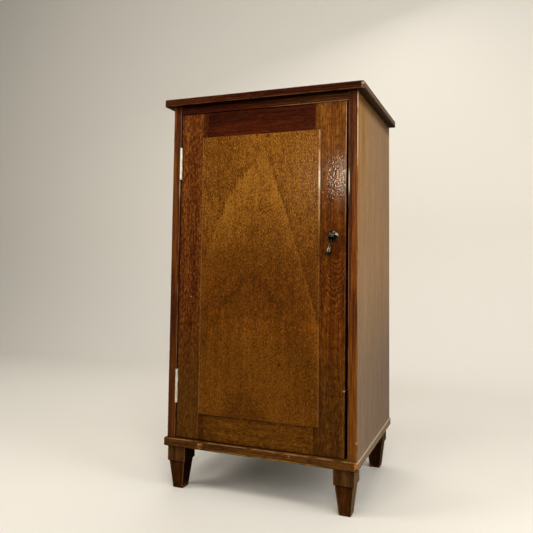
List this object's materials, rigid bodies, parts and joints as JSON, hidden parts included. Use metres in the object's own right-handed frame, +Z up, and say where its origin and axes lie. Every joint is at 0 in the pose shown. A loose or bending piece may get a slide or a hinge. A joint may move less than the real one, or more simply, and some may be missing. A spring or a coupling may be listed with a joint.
{
  "type": "record cabinet",
  "caption": "Freestanding wooden record cabinet on square tapered legs, with a hinged panelled door, a drop pull, a sprung catch and divided slots for records.",
  "frame": {"origin": "on the floor, under the middle of the overall width and depth", "axes": "+Z up, the door faces -Y, +X to the right of someone who faces the door"},
  "size_m": [0.483, 0.3796, 0.9045],
  "materials": {
    "case_wood": "satin polished red-brown mahogany",
    "leg_wood": "satin polished dark mahogany",
    "inner_wood": "plain oiled wood",
    "back_wood": "bare plywood",
    "door_wood": "satin polished mahogany",
    "panel_wood": "satin polished figured mahogany",
    "hinge_metal": "pale worn brass",
    "pull_brass": "aged brass",
    "catch_metal": "brushed"
  },
  "bodies": {
    "carcass": {"back_panel": "back_wood", "base_board": "case_wood", "door_stop": "inner_wood", "front_left_leg": "leg_wood", "front_right_leg": "leg_wood", "header_rail": "case_wood", "hinge_frame_screws": "hinge_metal", "inner_top": "inner_wood", "left_side": "case_wood", "lower_divider_1": "inner_wood", "lower_divider_2": "inner_wood", "lower_divider_3": "inner_wood", "lower_divider_4": "inner_wood", "lower_hinge_frame_leaf": "hinge_metal", "lower_hinge_pin": "hinge_metal", "middle_shelf": "inner_wood", "rear_left_leg": "leg_wood", "rear_right_leg": "leg_wood", "right_side": "case_wood", "strike_plate": "hinge_metal", "top_board": "case_wood", "upper_divider_1": "inner_wood", "upper_divider_2": "inner_wood", "upper_divider_3": "inner_wood", "upper_divider_4": "inner_wood", "upper_hinge_frame_leaf": "hinge_metal", "upper_hinge_pin": "hinge_metal"},
    "door": {"hinge_stile": "door_wood", "lock_stile": "door_wood", "door_top_rail": "door_wood", "door_bottom_rail": "door_wood", "door_panel": "panel_wood", "upper_hinge_door_leaf": "hinge_metal", "lower_hinge_door_leaf": "hinge_metal", "hinge_door_screws": "hinge_metal", "pull_rose": "pull_brass", "pull_post": "pull_brass", "pull_nut": "pull_brass", "pull_pin": "pull_brass", "catch_barrel": "catch_metal", "catch_spring": "catch_metal"},
    "pull": {"pull_drop": "pull_brass"},
    "catch": {"catch_bullet": "catch_metal"}
  },
  "joints": [
    {"name": "door_swing", "type": "hinge", "parent": "carcass", "child": "door", "pos_m": [-0.20305, -0.17475, 0.492], "axis": [0, 0, -1], "range_deg": [0, 180]},
    {"name": "pull_swing", "type": "hinge", "parent": "door", "child": "pull", "pos_m": [0.1713, -0.18375, 0.575], "axis": [-1, 0, 0], "range_deg": [-6, 100]},
    {"name": "catch_press", "type": "slide", "parent": "door", "child": "catch", "axis": [0, 0, -1], "range_m": [0, 0.002], "stiffness_N_per_m": 500, "springref_m": -0.002, "deforming": ["catch_spring"]}
  ]
}
